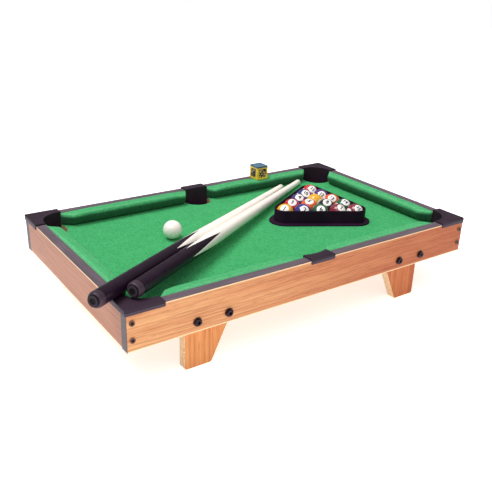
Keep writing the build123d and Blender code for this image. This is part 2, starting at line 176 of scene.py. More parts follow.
class Surface(Nodes):
    """A Principled material and the nodes that feed it. constants are the shader's own sockets."""

    def __init__(self, name, **constants):
        self.material = bpy.data.materials.new(name)
        self.material.use_nodes = True
        super().__init__(self.material.node_tree)
        self.shader = self.tree.nodes["Principled BSDF"]
        coordinates = self.tree.nodes.new("ShaderNodeTexCoord")
        self.place = coordinates.outputs["Object"]
        self.normal = coordinates.outputs["Normal"]
        for name, value in constants.items():
            self.feed(name.replace("_", " ").title().replace("Ior", "IOR"), value)

    def feed(self, name, value):
        self.fill(self.shader.inputs[name], value)

    def vector(self, operation, a, b=(0, 0, 0), out=0):
        return self.node("VectorMath", {0: a, 1: b}, out, operation=operation)

    def along(self, direction, origin=(0, 0, 0)):
        """Distance in millimetres from origin, along a direction."""
        shifted = self.vector("SUBTRACT", self.place, tuple(Vector(origin) * MM))
        return self.times(self.vector("DOT_PRODUCT", shifted, tuple(direction), 1), 1000)

    def facing(self, direction):
        """1 where the surface looks along a direction, -1 where it looks back, 0 across it."""
        return self.vector("DOT_PRODUCT", self.normal, direction, 1)

    def stretched(self, x, y, z, shift=(0, 0, 0)):
        """The place, scaled per axis, so that noise on it runs along the axis scaled least."""
        moved = self.vector("ADD", self.place, tuple(shift))
        return self.vector("MULTIPLY", moved, (x, y, z))

    def noise(self, scale, detail=3.0, roughness=0.5, distortion=0.0, vector=None):
        return self.node("TexNoise", {"Vector": vector or self.place, "Scale": scale,
                                      "Detail": detail, "Roughness": roughness,
                                      "Distortion": distortion})

    def ramp(self, factor, *stops):
        """A colour ramp: stops are (position, colour)."""
        made = self.tree.nodes.new("ShaderNodeValToRGB")
        while len(made.color_ramp.elements) < len(stops):
            made.color_ramp.elements.new(0.5)
        for element, (position, colour) in zip(made.color_ramp.elements, stops):
            element.position = position
            element.color = colour
        self.fill(made.inputs[0], factor)
        return made.outputs[0]

    def mix(self, factor, a, b, blend="MIX"):
        """Colour between a and b."""
        return self.node("Mix", {0: factor, 6: a, 7: b}, 2, data_type="RGBA", blend_type=blend)

    def tint(self, colour, mask, share, over):
        """colour, with a share of another over it where mask is 1."""
        return self.mix(self.times(mask, share), colour, over)

    def bump(self, height, depth, below=None):
        """Normals of a relief: depth is in millimetres for a height from 0 to 1."""
        inputs = {"Strength": 1.0, "Distance": depth * MM, "Height": height}
        if below is not None:
            inputs["Normal"] = below
        return self.node("Bump", inputs)


def felt(name, lit, deep, fleck, undercut=None):
    """Short-pile woven felt: fine fibres lying every way over a slightly cloudy dye, with a sheen.

    undercut multiplies the colour where a cushion's cloth turns down under the nose, as painted
    shade, and a thin painted highlight is then laid along the rounded nose.
    """
    s = Surface(name, roughness=0.95, sheen_weight=0.22, sheen_roughness=0.5,
                sheen_tint=rgb(150, 235, 175), specular_ior_level=0.08)
    clouds = s.noise(70, 4, 0.65, 0.4)
    fibres = s.noise(1300, 2, 0.7, 1.8)
    nap = s.noise(500, 5, 0.82, 0.8)
    threads = s.noise(430, 3, 0.75, 3.0, s.stretched(1, 2.6, 1, (0.3, 0.1, 0.0)))
    shade = s.add(s.times(nap, 0.86), s.times(clouds, 0.14))
    colour = s.ramp(shade, (0.43, deep), (0.57, lit))
    colour = s.tint(colour, s.step(fibres, 0.55, 0.75), 0.6, fleck)
    colour = s.tint(colour, s.step(threads, 0.42, 0.25), 0.4, deep)
    if undercut:
        upward = s.facing(Z_AXIS)
        # Painted highlight along the rounded nose.
        nose = s.times(s.step(upward, 0.96, 0.9), s.step(upward, 0.74, 0.86))
        colour = s.tint(colour, nose, 0.3, fleck)
        # Painted shade on the undercut below the nose.
        undercut_shade = s.mix(1.0, colour, undercut, "MULTIPLY")
        colour = s.mix(s.step(upward, 0.62, -0.02), colour, undercut_shade)
    s.feed("Base Color", colour)
    relief = s.bump(s.add(s.times(fibres, 0.5), s.times(threads, 0.7)), 0.3)
    s.feed("Normal", s.bump(nap, 0.25, relief))
    return s.material


def wood(name, grain, tones, shift, outward, rightward_tone_and_shade=0.0, worn=None):
    """Printed wood foil with its grain along an axis ("X", "Y" or "Z"), raw board on the cut faces.

    tones are the light, middle and dark colours. outward is the axis that the foil's faces look
    along. The share after it darkens and reddens the print towards +X: partly a redder print,
    partly painted shade where the light falls off. worn is the heights of the foil's two rubbed
    edges.
    """
    light, middle, dark = tones
    s = Surface(name, specular_ior_level=0.22)
    wander = s.node("TexNoise", {"Vector": s.stretched(1, 1, 1, shift), "Scale": 12.0,
                                 "Detail": 2.0}, 1)
    sway = s.vector("MULTIPLY", s.vector("SUBTRACT", wander, (0.5,) * 3), (0.004,) * 3)
    base = s.vector("ADD", s.vector("ADD", s.place, tuple(shift)), sway)

    def lengthwise(slow, quick, detail, roughness, distortion):
        """Noise that varies slowly along the grain and quickly across it."""
        scales = tuple(slow if axis == grain else quick for axis in "XYZ")
        return s.noise(1, detail, roughness, distortion, s.vector("MULTIPLY", base, scales))

    figure = lengthwise(4, 90, 4, 0.6, 0.1)
    streaks = lengthwise(8, 480, 5, 0.7, 0.15)
    lines = lengthwise(6, 360, 3, 0.65, 0.2)
    pores = lengthwise(60, 2200, 2, 0.6, 0.0)
    colour = s.ramp(figure, (0.3, light), (0.62, middle))
    colour = s.tint(colour, s.step(streaks, 0.45, 0.7), 0.55, dark)
    colour = s.tint(colour, s.step(streaks, 0.48, 0.3), 0.45, light)
    ridge = s.size(s.maths("SUBTRACT", lines, 0.5))
    colour = s.tint(colour, s.step(ridge, 0.03, 0.0), 0.55, dark)
    colour = s.tint(colour, s.step(pores, 0.6, 0.72), 0.3, dimmed(dark, 0.55))
    # A redder print towards +X, also darkened there as painted shade.
    if rightward_tone_and_shade:
        rightward = s.step(s.along(X_AXIS), -half_length, half_length)
        redder_and_shaded = s.mix(1.0, colour, (0.66, 0.37, 0.28, 1), "MULTIPLY")
        colour = s.tint(colour, rightward, rightward_tone_and_shade, redder_and_shaded)
    if worn:
        lower, upper = worn
        up = s.along(Z_AXIS)
        rubbed = s.maths("MAXIMUM", s.step(up, lower + 2.0, lower + 1.0),
                         s.times(s.step(up, upper - 1.8, upper - 1.0), 0.8))
        colour = s.tint(colour, rubbed, 0.9, rgb(250, 222, 176))
    specks = s.noise(900, 3, 0.7)
    chips = s.noise(260, 2, 0.6, 0.6)
    raw = s.ramp(specks, (0.32, rgb(196, 150, 108)), (0.52, rgb(234, 200, 160)),
                 (0.7, rgb(250, 228, 196)))
    raw = s.tint(raw, s.step(chips, 0.56, 0.66), 0.4, rgb(176, 132, 94))
    foil = s.step(s.size(s.facing(tuple(float(axis == outward) for axis in "XYZ"))), 0.8, 0.92)
    s.feed("Base Color", s.mix(foil, raw, colour))
    s.feed("Roughness", s.between(foil, 0.85, s.spread(streaks, 0.4, 0.52)))
    s.feed("Normal", s.bump(s.between(foil, specks, s.times(pores, 0.25)), 0.1))
    return s.material


def edge_band(name, grain, painted_shade_dimming=1.0):
    """Dark grey-violet edge tape with faint lengthwise streaks, dimmed as painted shade by the last
    argument.

    Where the tape runs along X, the strips on the end aprons still run along Y.
    """
    s = Surface(name, specular_ior_level=0.4)

    def lengthwise(run):
        scales = tuple(1.0 if axis == run else 26.0 for axis in "XYZ")
        return s.noise(22, 5, 0.7, 0.1, s.vector("MULTIPLY", s.place, scales))

    streaks = lengthwise(grain)
    if grain == "X":
        strip = half_length - apron_thick
        on_strip = s.step(s.size(s.along(X_AXIS)), strip - 0.1, strip + 0.1)
        streaks = s.between(on_strip, streaks, lengthwise("Y"))
    specks = s.noise(700, 2, 0.6)
    dark, middle, light, fleck = (dimmed(rgb(*shade), painted_shade_dimming) for shade in (
        (72, 59, 70), (90, 76, 86), (112, 97, 106), (130, 115, 124)))
    colour = s.ramp(streaks, (0.32, dark), (0.5, middle), (0.68, light))
    s.feed("Base Color", s.tint(colour, s.step(specks, 0.58, 0.7), 0.35, fleck))
    s.feed("Roughness", s.spread(streaks, 0.42, 0.6))
    s.feed("Normal", s.bump(s.add(streaks, s.times(specks, 0.4)), 0.06))
    return s.material


def moulded(name, low, high, roughness, texture, depth, lip=None, **constants):
    """Moulded plastic: a fine spark-eroded texture, faint flow marks and dust in the hollows.

    lip is the height of a pocket plate's lower edge: outside the aprons, a painted shadow darkens
    that line and the skirt below it is painted lighter, as painted light.
    """
    s = Surface(name, **constants)
    grain = s.noise(texture, 3, 0.6)
    flow = s.noise(28, 3, 0.55, 0.8)
    dust = s.noise(420, 4, 0.75)
    colour = s.ramp(flow, (0.35, low), (0.65, high))
    colour = s.tint(colour, s.step(dust, 0.64, 0.78), 0.07, rgb(130, 118, 128))
    if lip:
        def beyond(axis, half):
            return s.step(s.size(s.along(axis)), half - 0.4, half + 0.2)

        up = s.along(Z_AXIS)
        outside = s.maths("MAXIMUM", beyond(Y_AXIS, half_width), beyond(X_AXIS, half_length))
        side = s.times(s.step(s.size(s.facing(Z_AXIS)), 0.6, 0.3), outside)
        # Painted light: the skirt below the lip is made lighter.
        lit_skirt = s.times(side, s.step(up, lip, lip - 0.6))
        colour = s.tint(colour, lit_skirt, 0.5, rgb(84, 72, 86))
        # Painted shadow along the line under the plate's lip.
        lip_shadow = s.times(side, s.step(s.size(s.maths("SUBTRACT", up, lip)), 0.55, 0.2))
        colour = s.tint(colour, lip_shadow, 0.85, rgb(10, 4, 10))
    s.feed("Base Color", colour)
    s.feed("Roughness", s.spread(flow, roughness - 0.06, roughness + 0.08, (0.3, 0.7)))
    s.feed("Normal", s.bump(grain, depth))
    return s.material


def metal(name, colour, bright, roughness, metallic=1.0):
    """Plated or oxidised hardware, with scuffs."""
    s = Surface(name, metallic=metallic)
    scuffs = s.noise(800, 4, 0.7, 0.6)
    tarnished = s.mix(s.noise(160, 3, 0.6), colour, dimmed(colour, 0.6))
    s.feed("Base Color", s.mix(s.step(scuffs, 0.5, 0.75), tarnished, bright))
    s.feed("Roughness", s.spread(scuffs, roughness - 0.08, roughness + 0.15, (0.3, 0.7)))
    s.feed("Normal", s.bump(scuffs, 0.03))
    return s.material


def screw_metal(name):
    """Bronzed cross-head screws: a brown rim round a dark centre, painted shade of the recess."""
    s = Surface(name, metallic=0.7)
    low, high = span("apron_screws")
    middle = (low.z + high.z) / 2
    across = s.maths("SUBTRACT", s.size(s.along(X_AXIS)), high.x - screw_head)
    upright = s.maths("SUBTRACT", s.size(s.along(Z_AXIS, (0, 0, middle))),
                      (high.z - low.z) / 2 - screw_head)
    centre = s.hypotenuse(across, upright)
    scuffs = s.noise(800, 4, 0.7, 0.6)
    rim = s.mix(scuffs, rgb(92, 58, 48), rgb(132, 92, 78))
    # A painted dark centre: painted shade in the cross recess.
    recess_shade = s.step(centre, screw_head * 0.45, screw_head * 0.75)
    s.feed("Base Color", s.mix(recess_shade, rgb(16, 8, 12), rim))
    s.feed("Roughness", s.spread(scuffs, 0.35, 0.55))
    return s.material


def fibreboard(name, light, dark):
    """Raw pressed board."""
    s = Surface(name, roughness=0.88, specular_ior_level=0.25)
    specks = s.noise(850, 4, 0.75)
    chips = s.noise(210, 3, 0.65, 0.9)
    colour = s.ramp(specks, (0.32, dark), (0.6, light))
    s.feed("Base Color", s.tint(colour, s.step(chips, 0.52, 0.66), 0.55, dark))
    s.feed("Normal", s.bump(s.add(specks, chips), 0.16))
    return s.material


# ---- what each CAD node is made of -------------------------------------------------------------
def dress(node, material):
    """Give a carried-over CAD node its material."""
    for place in nodes[node].material_slots:
        place.material = material


side_tones = rgb(228, 174, 120), rgb(214, 146, 98), rgb(164, 88, 52)
# The end aprons' tones are a darker, pinker copy of the side foil; the darkening is painted shade
# for the end faces.
shaded_end_tones = rgb(172, 118, 92), rgb(162, 106, 80), rgb(132, 78, 56)
leg_tones = rgb(236, 168, 102), rgb(218, 138, 80), rgb(172, 86, 44)
apron_edges = [corner.z for corner in span("side_apron_near")]
# The last column darkens and reddens the side foil towards +X, partly as painted shade.
for node, name, grain, tones, shift, outward, rightward_tone_and_shade in (
        ("side_apron_near", "apron_foil_near", "X", side_tones, (0.21, 0.4, 0.07), "Y", 1.0),
        ("side_apron_far", "apron_foil_far", "X", side_tones, (1.37, 0.1, 0.31), "Y", 1.0),
        ("end_apron_left", "apron_foil_left", "Y", shaded_end_tones, (0.5, 0.73, 0.12), "X", 0.0),
        ("end_apron_right", "apron_foil_right", "Y", shaded_end_tones, (0.9, 1.9, 0.44), "X", 0.0)):
    dress(node, wood(name, grain, tones, shift, outward, rightward_tone_and_shade, apron_edges))
# The legs' foil is darkened towards +X too, partly as painted shade.
for count, leg in enumerate(("near_left", "near_right", "far_left", "far_right")):
    shift = (0.31 * count, 0.2, 0.17 * count)
    dress(f"leg_{leg}", wood(f"leg_foil_{leg}", "Z", leg_tones, shift, "Y", 0.8))
dress("apron_top_bands", edge_band("edge_tape_top", "X"))
# The end aprons' tape is dimmed as painted shade.
dress("apron_end_bands", edge_band("edge_tape_ends", "Z", 0.55))
dress("bed_board", fibreboard("bed_fibreboard", rgb(214, 186, 148), rgb(160, 124, 88)))
dress("bed_battens", fibreboard("batten_pine", rgb(222, 190, 142), rgb(180, 138, 92)))
black_plastic = moulded("pocket_moulding", rgb(37, 21, 36), rgb(50, 33, 48), 0.55, 620, 0.09,
                        lip=apron_edges[1], specular_ior_level=0.22)
for pocket in ("corner_pocket_near_left", "corner_pocket_near_right", "corner_pocket_far_right",
               "corner_pocket_far_left", "side_pocket_near", "side_pocket_far",
               "corner_pocket_cups", "side_pocket_cups"):
    dress(pocket, black_plastic)
dress("leg_bolts", metal("blackened_steel", rgb(40, 28, 38), rgb(112, 98, 108), 0.3, 0.9))
dress("leg_bolt_washers", metal("brown_steel", rgb(92, 58, 54), rgb(128, 92, 84), 0.45, 0.6))
dress("apron_screws", screw_metal("bronzed_steel"))
dress("cup_screws", metal("zinc_steel", rgb(176, 176, 180), rgb(220, 220, 224), 0.35))
dress("leg_insert_nuts", metal("yellow_brass", rgb(206, 166, 88), rgb(236, 208, 140), 0.35))
dress("rack", moulded("rack_moulding", rgb(34, 15, 36), rgb(42, 21, 43), 0.6, 300, 0.03,
                      specular_ior_level=0.1))

# ==== balls =====================================================================================
ball_colours = {1: rgb(240, 178, 40), 2: rgb(48, 50, 128), 3: rgb(206, 40, 44),
                4: rgb(78, 48, 122), 5: rgb(236, 98, 36), 6: rgb(22, 96, 66),
                7: rgb(138, 30, 50), 8: rgb(24, 22, 26)}    # ball 9 has ball 1's, and so on
ball_white = rgb(252, 248, 244)
last_solid = 8
# Where each ball's number looks, as azimuth and elevation, and how far its digits are turned.
number_places = {1: (-134, 48, -22), 2: (-111, 41, -14), 3: (-120, 59, -32), 4: (-108, 58, -44),
                 5: (-122, 70, -58), 6: (-124, 42, -4), 7: (-87, 52, -44), 8: (-118, 59, -38),
                 9: (10, 22, 30), 10: (-107, 51, -42), 11: (-102, 47, -56), 12: (-119, 38, -40),
                 13: (-129, 50, -40), 14: (-97, 60, -70), 15: (-97, 47, -76)}
circle_radius = 6.2          # white circle round a number
stripe_share = 0.8           # half width of a stripe, as a share of the ball's radius
paint_blur = 0.15            # half width of a painted edge
digit_size, two_digit_size = 9.0, 7.6
digit_edge = 0.8             # longest edge of a digit before it is wrapped
ink_above, ink_below = 0.07, 0.05    # the ink's two faces, from the ball's surface


def direction(azimuth, elevation):
    a, e = math.radians(azimuth), math.radians(elevation)
    return Vector((math.cos(a) * math.cos(e), math.sin(a) * math.cos(e), math.sin(e)))


def polished(s, colour):
    """Polished resin: hairline scratches and a slight unevenness in the gloss."""
    scratches = s.noise(240, 2, 0.5, 3.0, s.stretched(1, 6, 1))
    haze = s.noise(130, 3, 0.6)
    s.feed("Base Color", colour)
    s.feed("Roughness", s.spread(haze, 0.1, 0.19, (0.3, 0.7)))
    s.feed("Normal", s.bump(scratches, 0.006))
    return s.material


def ball_surface(number, centre, facing):
    """Solid or striped ball with its two white number circles, as masks round its centre."""
    s = Surface(f"ball_resin_{number:02d}", coat_weight=0.15, coat_roughness=0.08)
    low, high = span(f"ball_{number:02d}")
    radius = (high.x - low.x) / 2
    base = ball_colours[number if number <= last_solid else number - last_solid]
    paint = s.mix(s.noise(60, 2, 0.5), base, dimmed(base, 0.82))
    wide, narrow = (math.sqrt(radius**2 - (circle_radius + blur)**2)
                    for blur in (paint_blur, -paint_blur))
    circle = s.step(s.size(s.along(facing, centre)), wide, narrow)
    white = s.mix(s.noise(90, 2), ball_white, dimmed(ball_white, 0.94))
    if number > last_solid:
        axis = facing.cross(UP).normalized()
        edge = stripe_share * radius
        pole = s.step(s.size(s.along(axis, centre)), edge - paint_blur, edge + paint_blur)
        paint = s.mix(pole, paint, white)
    return polished(s, s.mix(circle, paint, white))


def flat_digits(number):
    """A number as a thin flat mesh, in millimetres."""
    text = bpy.data.curves.new(f"digits_{number:02d}", "FONT")
    text.body = str(number)
    text.align_x = text.align_y = "CENTER"
    text.extrude = 0.02
    text.offset = 0.3
    text.resolution_u = 5
    text.size = digit_size if number < 10 else two_digit_size
    text.space_character = 0.94
    holder = add(f"digits_{number:02d}", text)
    flat = evaluated_mesh(holder)
    bpy.data.objects.remove(holder)
    return flat


def wrapped_number(number, centre, radius, facing, turn):
    """The ball's number as thin raised ink, wrapped on the sphere at both of its circles."""
    flat = flat_digits(number)
    corners = [v.co for v in flat.vertices]
    middle = (np.min(corners, 0) + np.max(corners, 0)) / 2
    whole = bmesh.new()
    for side in (1, -1):
        pole = facing * side
        right = UP.cross(pole).normalized()
        over = pole.cross(right)
        spin = Matrix.Rotation(math.radians(turn), 3, pole)
        right, over = spin @ right, spin @ over
        part = bmesh.new()
        part.from_mesh(flat)
        bmesh.ops.remove_doubles(part, verts=part.verts, dist=1e-5)
        bmesh.ops.triangulate(part, faces=part.faces)
        for _ in range(4):
            long_edges = [e for e in part.edges if e.calc_length() > digit_edge]
            if not long_edges:
                break
            bmesh.ops.subdivide_edges(part, edges=long_edges, cuts=1)
            bmesh.ops.triangulate(part, faces=part.faces)
        for vertex in part.verts:
            x, y = vertex.co.x - middle[0], vertex.co.y - middle[1]
            far = math.hypot(x, y)
            angle = far / radius
            sideways = (right * x + over * y) * (math.sin(angle) / max(far, 1e-9))
            outward = pole * math.cos(angle) + sideways
            lift = ink_above if vertex.co.z > middle[2] else -ink_below
            vertex.co = (centre + outward * (radius + lift)) * MM
        half = mesh_from(part, "half")
        whole.from_mesh(half)
        bpy.data.meshes.remove(half)
    bmesh.ops.recalc_face_normals(whole, faces=whole.faces)
    bpy.data.meshes.remove(flat)
    return add(f"number_{number:02d}", mesh_from(whole, f"number_{number:02d}"))


ink = Surface("number_ink", coat_weight=0.4, coat_roughness=0.08)
ink.feed("Base Color", ink.ramp(ink.noise(600, 3, 0.7), (0.35, rgb(8, 8, 12)),
                                (0.7, rgb(26, 24, 34))))
ink.feed("Roughness", ink.spread(ink.noise(300, 2), 0.16, 0.34))
for number, (azimuth, elevation, turn) in number_places.items():
    body = f"ball_{number:02d}"
    low, high = span(body)
    centre, radius = (low + high) / 2, (high.z - low.z) / 2
    facing = direction(azimuth, elevation)
    dress(body, ball_surface(number, centre, facing))
    piece = wrapped_number(number, centre, radius, facing, turn)
    piece.data.materials.append(ink.material)
    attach(piece, body)
cream = Surface("cue_ball_resin", coat_weight=0.4, coat_roughness=0.08, subsurface_weight=0.08,
                subsurface_scale=0.002)
cream_tone = cream.mix(cream.noise(70, 3), rgb(255, 247, 242), rgb(252, 241, 232))
dress("cue_ball", polished(cream, cream_tone))

# ==== cues ======================================================================================
# Each cue's butt end in plan, a point that it points at in plan, and the butt end's height.
cue_ends = {"cue_a": ((-282.0, -140.5), (145.4, 115.9), 113.4),
            "cue_b": ((-238.8, -137.5), (183.6, 121.2), 111.4)}
# Where the painted points begin and end, from the butt, and how far round they are turned.
cue_points = {"cue_a": (152.0, 220.0, -0.889), "cue_b": (113.0, 192.0, 0.044)}
point_count = 4
cue_length = 497.0
tip_height = span("bed_cloth")[1].z + 0.15 + 4.3    # gap over the cloth, and the tip's radius
bumper_recess, bumper_rim = 3.6, 6.3                # radii


def cue_axes(name):
    """Butt end of a cue, and the unit directions forward, sideways and over."""
    start, toward, height = cue_ends[name]
    butt = Vector((*start, height))
    drop = tip_height - height
    run = math.sqrt(cue_length**2 - drop**2)
    level = Vector((toward[0] - start[0], toward[1] - start[1], 0)).normalized()
    forward = (level * run + UP * drop).normalized()
    side = forward.cross(UP).normalized()
    return butt, forward, side, side.cross(forward)


def cue_surface(name):
    """Black butt with long points over pale wood, under clear lacquer."""
    butt, forward, side, over = cue_axes(name)
    valley, peak, phase = cue_points[name]
    s = Surface(f"{name}_lacquer", coat_weight=0.2, coat_roughness=0.2, specular_ior_level=0.08)
    far = s.along(forward, butt)
    turn = s.maths("ARCTAN2", s.along(side, butt), s.along(over, butt))
    round_cue = s.add(s.times(turn, point_count / math.tau * 2), phase + point_count)
    edge = s.add(s.times(s.maths("PINGPONG", round_cue, 1.0), peak - valley), valley)
    pale = s.step(s.maths("SUBTRACT", far, edge), -0.4, 0.4)
    lengthwise = s.node("CombineXYZ", {0: s.times(far, 0.004), 1: s.times(turn, 1.4)})
    grain = s.noise(7, 5, 0.65, 0.1, lengthwise)
    hairs = s.noise(30, 3, 0.6, 0.0, lengthwise)
    maple = s.ramp(grain, (0.3, rgb(255, 248, 240)), (0.55, rgb(252, 242, 232)),
                   (0.75, rgb(240, 222, 204)))
    maple = s.tint(maple, s.step(hairs, 0.56, 0.7), 0.25, rgb(226, 200, 180))
    black = s.ramp(s.noise(90, 3, 0.6), (0.3, rgb(27, 11, 28)), (0.7, rgb(36, 18, 36)))
    s.feed("Base Color", s.mix(pale, black, maple))
    s.feed("Roughness", s.spread(s.noise(45, 3), 0.3, 0.42, (0.3, 0.7)))
    s.feed("Normal", s.bump(s.times(grain, pale), 0.02))
    return s.material


def bumper_surface(name):
    """Rubber bumper: a scuffed rim between a black recess, its black painted shade, and a dark
    outer edge.
    """
    butt, _, side, over = cue_axes(name)
    s = Surface(f"{name}_bumper_rubber", specular_ior_level=0.2)
    centre = s.hypotenuse(s.along(side, butt), s.along(over, butt))
    scuffs = s.noise(700, 3, 0.65)
    rim = s.mix(scuffs, rgb(34, 24, 34), rgb(58, 46, 56))
    rim = s.mix(s.step(centre, bumper_rim - 0.7, bumper_rim), rim, rgb(12, 6, 12))
    # The black inside the recess is painted shade.
    outside = s.step(centre, bumper_recess - 0.5, bumper_recess + 0.3)
    s.feed("Base Color", s.mix(outside, rgb(6, 2, 6), rim))
    s.feed("Roughness", s.spread(scuffs, 0.6, 0.8))
    s.feed("Normal", s.bump(scuffs, 0.08))
    return s.material


cap_plastic = moulded("cue_cap_moulding", rgb(46, 31, 44), rgb(62, 45, 58), 0.4, 900, 0.05,
                      specular_ior_level=0.3)
leather = Surface("tip_leather", roughness=0.85, specular_ior_level=0.2)
weave = leather.noise(900, 4, 0.7, 0.8)
leather.feed("Base Color", leather.ramp(weave, (0.3, rgb(206, 196, 184)),
                                        (0.7, rgb(240, 234, 224))))
leather.feed("Normal", leather.bump(weave, 0.08))
for name in cue_ends:
    dress(f"{name}_bumper", bumper_surface(name))
    dress(f"{name}_end_cap", cap_plastic)
    dress(f"{name}_shaft", cue_surface(name))
    dress(f"{name}_tip", leather.material)

# ==== chalk =====================================================================================
chalk_low, chalk_high = span("chalk_block")
chalk_middle = (chalk_low + chalk_high) / 2
badge_half = 6.8             # half width of the dark square on each side of the label
badge_drop = 0.6             # its middle, below the block's
chalk = Surface("chalk_block_dust", roughness=0.95, specular_ior_level=0.1, sheen_weight=0.2)
crumbs = chalk.noise(700, 5, 0.75)
pits = chalk.noise(1600, 2, 0.6)
dye = chalk.ramp(crumbs, (0.3, rgb(46, 78, 104)), (0.6, rgb(78, 110, 134)))
chalk.feed("Base Color", chalk.mix(chalk.step(pits, 0.5, 0.7), dye, rgb(118, 142, 160)))
chalk.feed("Normal", chalk.bump(chalk.add(crumbs, pits), 0.3))
dress("chalk_block", chalk.material)
label = Surface("chalk_label_paper", specular_ior_level=0.35)
across = label.size(label.along(X_AXIS, chalk_middle))
deep = label.size(label.along(Y_AXIS, chalk_middle))
upright = label.size(label.along(Z_AXIS, chalk_middle - UP * badge_drop))
square = label.maths("MAXIMUM", label.maths("MINIMUM", across, deep), upright)
paper = label.ramp(label.noise(120, 3), (0.3, rgb(232, 190, 34)), (0.7, rgb(246, 210, 60)))
specks = label.step(label.noise(330, 1, 0.4), 0.55, 0.6)
badge = label.mix(specks, rgb(18, 15, 20), rgb(206, 176, 110))
within = label.step(square, badge_half + 0.2, badge_half - 0.2)
label.feed("Base Color", label.mix(within, paper, badge))
label.feed("Roughness", label.spread(label.noise(200), 0.45, 0.65))
label.feed("Normal", label.bump(label.noise(500, 3), 0.02))
dress("chalk_label", label.material)

# ==== bed felt ==================================================================================
table_green = felt("bed_felt_cloth", rgb(73, 173, 109), rgb(42, 142, 79), rgb(112, 190, 138))
# The last colour multiplies the cushions' undercut as painted shade.
rail_green = felt("rail_felt_cloth", rgb(84, 178, 116), rgb(50, 146, 86), rgb(126, 198, 148),
                  (0.42, 0.32, 0.42, 1))
holes = [(Vector((x * (half_length - corner_inset), y * (half_width - corner_inset))),
          corner_hole_radius) for x in (-1, 1) for y in (-1, 1)]
holes += [(Vector((0.0, y * (half_width - side_inset))), side_hole_radius) for y in (-1, 1)]
felt_step = 4.0              # spacing of the sheet's points
hole_count = 96              # points round a hole
roll_width, roll_depth = 1.1, 0.75    # the cut edge, rolled down into the hole


def from_holes(x, y):
    """Distance from the nearest pocket hole's edge, negative inside it."""
    return min(math.hypot(x - c.x, y - c.y) - r for c, r in holes)


def felt_points(low, high):
    """Points of the sheet in plan: a grid, rings round the holes, and their ends at its edges."""
    points = []
    xs = np.linspace(low.x, high.x, int((high.x - low.x) / felt_step) + 1)
    ys = np.linspace(low.y, high.y, int((high.y - low.y) / felt_step) + 1)
    points += [Vector((x, y)) for x in xs for y in ys if from_holes(x, y) > roll_width + 0.5]
    for centre, radius in holes:
        for ring in (0.0, 0.5, roll_width):
            for k in range(hole_count):
                angle = k * math.tau / hole_count
                spot = centre + Vector((math.cos(angle), math.sin(angle))) * (radius + ring)
                if (low.x - 1e-6 <= spot.x <= high.x + 1e-6
                        and low.y - 1e-6 <= spot.y <= high.y + 1e-6):
                    points.append(spot)
        for axis, other in ((0, 1), (1, 0)):
            for border in (low[axis], high[axis]):
                if abs(border - centre[axis]) < radius:
                    half = math.sqrt(radius**2 - (border - centre[axis])**2)
                    for crossing in (centre[other] - half, centre[other] + half):
                        if low[other] < crossing < high[other]:
                            spot = Vector((border, border))
                            spot[other] = crossing
                            points.append(spot)
    return points


def bed_felt():
    """The stretched cloth: a thin closed sheet, cut at the pockets, its cut edges rolled in."""
    low, high = span("bed_cloth")
    flat, _, faces, *_ = geometry.delaunay_2d_cdt(felt_points(low, high), [], [], 0, 0.05)
    sheet = bmesh.new()
    made = [sheet.verts.new((p.x, p.y, 0)) for p in flat]
    for face in faces:
        middle = sum((flat[i] for i in face), Vector((0, 0))) / len(face)
        if from_holes(middle.x, middle.y) > 0.0:
            sheet.faces.new([made[i] for i in face])
    loose = [v for v in sheet.verts if not v.link_faces]
    bmesh.ops.delete(sheet, geom=loose, context="VERTS")
    area = sum(f.calc_area() for f in sheet.faces)
    copy = bmesh.ops.duplicate(sheet, geom=sheet.verts[:] + sheet.edges[:] + sheet.faces[:])
    under = {g for g in copy["geom"] if isinstance(g, bmesh.types.BMVert)}
    rim = [e for e in sheet.edges if len(e.link_faces) == 1]
    bmesh.ops.reverse_faces(sheet, faces=[g for g in copy["geom"]
                                          if isinstance(g, bmesh.types.BMFace)])
    for vertex in sheet.verts:
        if vertex in under:
            vertex.co.z = low.z + 0.02
            continue
        x, y = vertex.co.x, vertex.co.y
        away = min(max(from_holes(x, y), 0.0), roll_width)
        roll = roll_depth * (1 - math.sqrt(1 - (1 - away / roll_width)**2))
        ripple = 0.05 * noise.noise(Vector((x / 38, y / 38, 3.1)))
        ripple += 0.025 * noise.noise(Vector((x / 9, y / 9, 8.4)))
        vertex.co.z = high.z - 0.03 - roll + ripple
    bmesh.ops.bridge_loops(sheet, edges=rim)
    for vertex in sheet.verts:
        vertex.co *= MM
    bmesh.ops.recalc_face_normals(sheet, faces=sheet.faces)
    mesh = mesh_from(sheet, "bed_felt")
    mesh.materials.append(table_green)
    mesh.shade_smooth()
    piece = add("bed_felt", mesh)
    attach(piece, "table")
    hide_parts("bed_cloth")


bed_felt()

# ==== cushions ==================================================================================
# A rail's own axes: u along it, v inward from the apron's outer face, z up.
rail_frames = {"near": (Vector((0, -half_width, 0)), Vector((1, 0, 0))),
               "far": (Vector((0, half_width, 0)), Vector((-1, 0, 0))),
               "left": (Vector((-half_length, 0, 0)), Vector((0, -1, 0))),
               "right": (Vector((half_length, 0, 0)), Vector((0, 1, 0)))}
corner_end, side_end, short_end = 210.6, 18.4, 110.6    # of the back edges, from the middle
corner_slant, side_slant = 12.0, 7.5     # how much further in the nose ends
first_half = (-corner_end, -side_end, corner_slant, side_slant)
second_half = (side_end, corner_end, side_slant, corner_slant)
end_rail = (-short_end, short_end, corner_slant, corner_slant)
